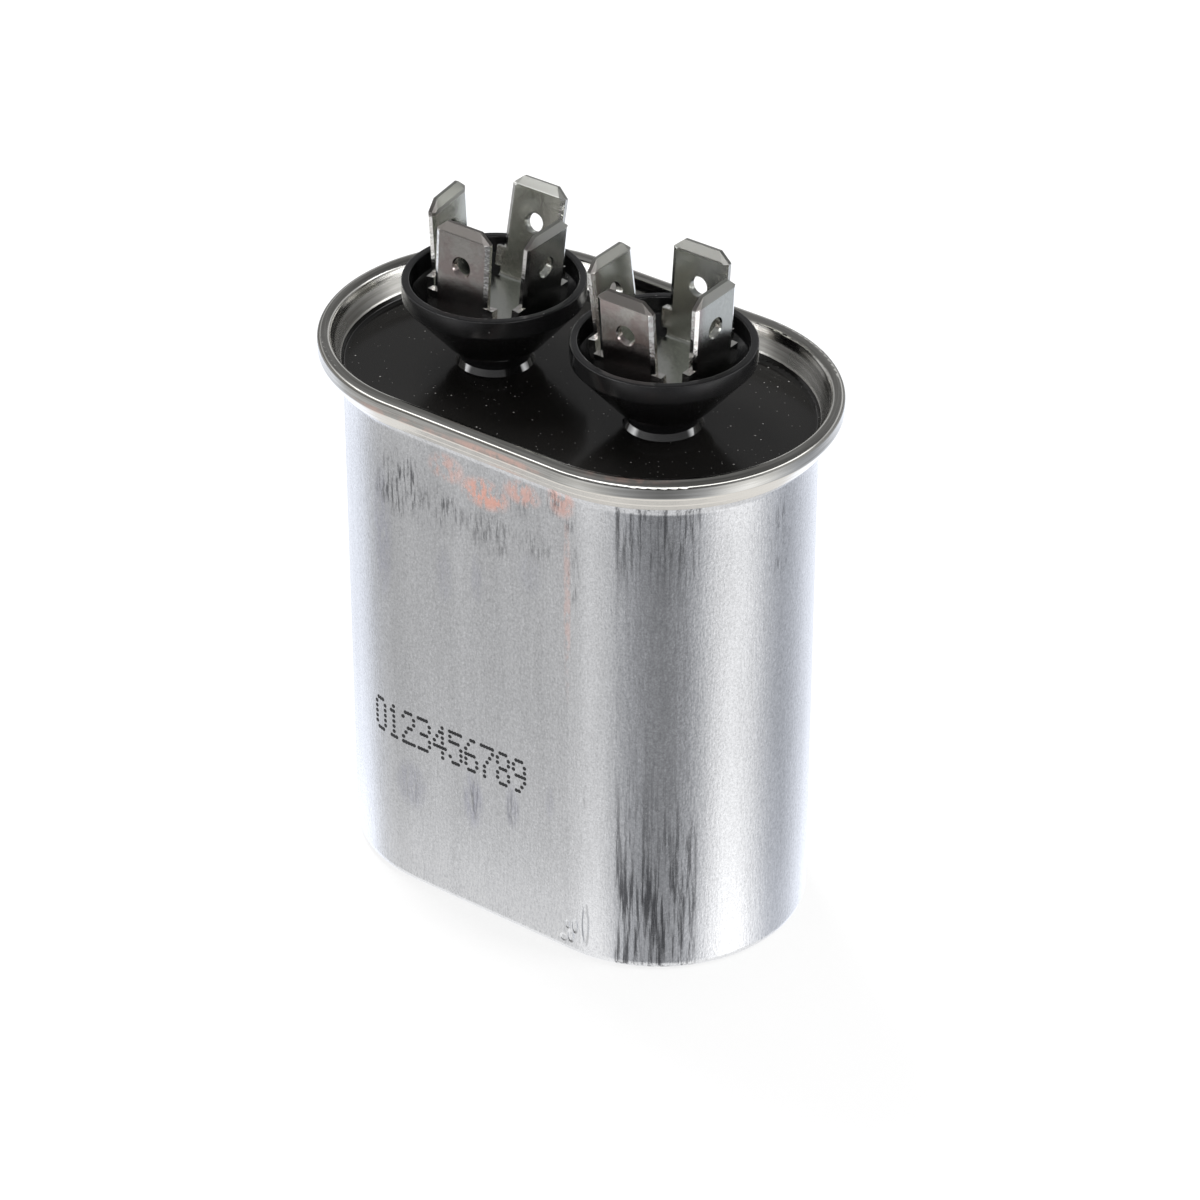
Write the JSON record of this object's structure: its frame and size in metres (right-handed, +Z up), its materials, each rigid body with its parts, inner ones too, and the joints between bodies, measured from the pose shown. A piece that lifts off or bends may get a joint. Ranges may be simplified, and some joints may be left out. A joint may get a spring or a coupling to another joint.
{
  "type": "motor run capacitor",
  "caption": "Motor run capacitor: oval drawn metal can closed by a double-seamed sunk lid, with tinned push-on blade terminals standing in black insulating cups.",
  "frame": {"origin": "centre of the can's flat bottom", "axes": "+Z up along the can towards the terminals, +X along the long axis of the oval from the left to the right terminal, +Y to the rear flat side"},
  "size_m": [0.0548, 0.035, 0.0711],
  "materials": {
    "can": "drawn, satin, with fine vertical streaks and smudges",
    "lid": "bare tinplate rim and wall, panel lacquered glossy black",
    "compound": "cured sealing compound",
    "cup": "glossy black moulding",
    "gasket": "smooth black rubber",
    "tab": "tin-plated, dull, cut edges bright",
    "rivet": "tin-plated",
    "washer": "brown fibre",
    "lug": "tin-plated",
    "film": "wound metallised film",
    "end_spray": "sprayed zinc, rough",
    "lead": "tinned copper wire",
    "sleeve": "plain",
    "wrap": "plain",
    "insulator": "plain"
  },
  "bodies": {
    "root": {"can": "can", "lid": "lid", "seam_compound": "compound", "terminal_cup_left": "cup", "terminal_cup_right": "cup", "cup_gasket_left": "gasket", "cup_gasket_right": "gasket", "blade_terminal_left": "tab", "blade_terminal_right": "tab", "rivet_left": "rivet", "rivet_right": "rivet", "inner_washer_left": "washer", "inner_washer_right": "washer", "solder_lug_left": "lug", "solder_lug_right": "lug", "film_winding": "film", "end_spray_top": "end_spray", "end_spray_bottom": "end_spray", "lead_left": "lead", "lead_right": "lead", "lead_sleeve": "sleeve", "winding_wrap": "wrap", "bottom_insulator": "insulator", "top_insulator": "insulator"}
  },
  "joints": []
}
